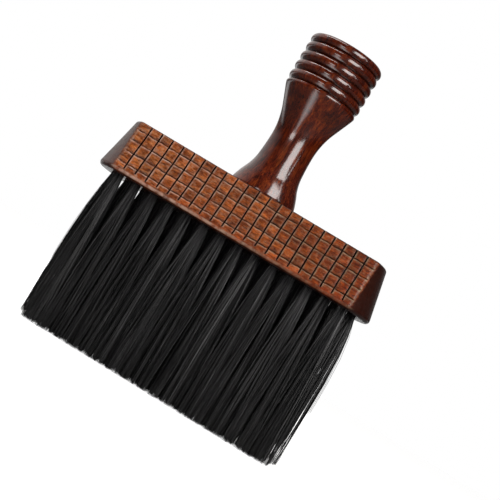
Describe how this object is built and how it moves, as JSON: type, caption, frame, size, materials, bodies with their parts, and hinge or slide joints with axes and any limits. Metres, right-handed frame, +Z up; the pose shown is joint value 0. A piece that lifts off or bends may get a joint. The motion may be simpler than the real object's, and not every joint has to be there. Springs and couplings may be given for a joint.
{
  "type": "neck duster brush",
  "caption": "Wide neck duster brush: drafted wooden block with a sawn brick pattern, rows of long soft black bristle tufts and a turned wooden handle with a beaded top.",
  "frame": {"origin": "under the middle of the block, in the plane of the bristle tips", "axes": "+Z up along the handle's axis, +X along the block, the front long face towards -Y"},
  "size_m": [0.1272, 0.0438, 0.1603],
  "materials": {
    "block_wood": "glossy brown lacquer, worn lighter on the sawn tiles",
    "handle_wood": "dark reddish brown gloss lacquer",
    "dowel_wood": "bare fluted hardwood",
    "bristle": "soft black synthetic filament",
    "anchor_wire": "flat drawn wire"
  },
  "bodies": {
    "root": {"brush_block": "block_wood", "handle": "handle_wood", "handle_dowel": "dowel_wood", "anchors_front": "anchor_wire", "tuft_front_01": "bristle", "tuft_front_02": "bristle", "tuft_front_03": "bristle", "tuft_front_04": "bristle", "tuft_front_05": "bristle", "tuft_front_06": "bristle", "tuft_front_07": "bristle", "tuft_front_08": "bristle", "tuft_front_09": "bristle", "tuft_front_10": "bristle", "tuft_front_11": "bristle", "tuft_front_12": "bristle", "tuft_front_13": "bristle", "tuft_front_14": "bristle", "anchors_middle": "anchor_wire", "tuft_middle_01": "bristle", "tuft_middle_02": "bristle", "tuft_middle_03": "bristle", "tuft_middle_04": "bristle", "tuft_middle_05": "bristle", "tuft_middle_06": "bristle", "tuft_middle_07": "bristle", "tuft_middle_08": "bristle", "tuft_middle_09": "bristle", "tuft_middle_10": "bristle", "tuft_middle_11": "bristle", "tuft_middle_12": "bristle", "tuft_middle_13": "bristle", "tuft_middle_14": "bristle", "tuft_middle_15": "bristle", "anchors_back": "anchor_wire", "tuft_back_01": "bristle", "tuft_back_02": "bristle", "tuft_back_03": "bristle", "tuft_back_04": "bristle", "tuft_back_05": "bristle", "tuft_back_06": "bristle", "tuft_back_07": "bristle", "tuft_back_08": "bristle", "tuft_back_09": "bristle", "tuft_back_10": "bristle", "tuft_back_11": "bristle", "tuft_back_12": "bristle", "tuft_back_13": "bristle", "tuft_back_14": "bristle"}
  },
  "joints": []
}
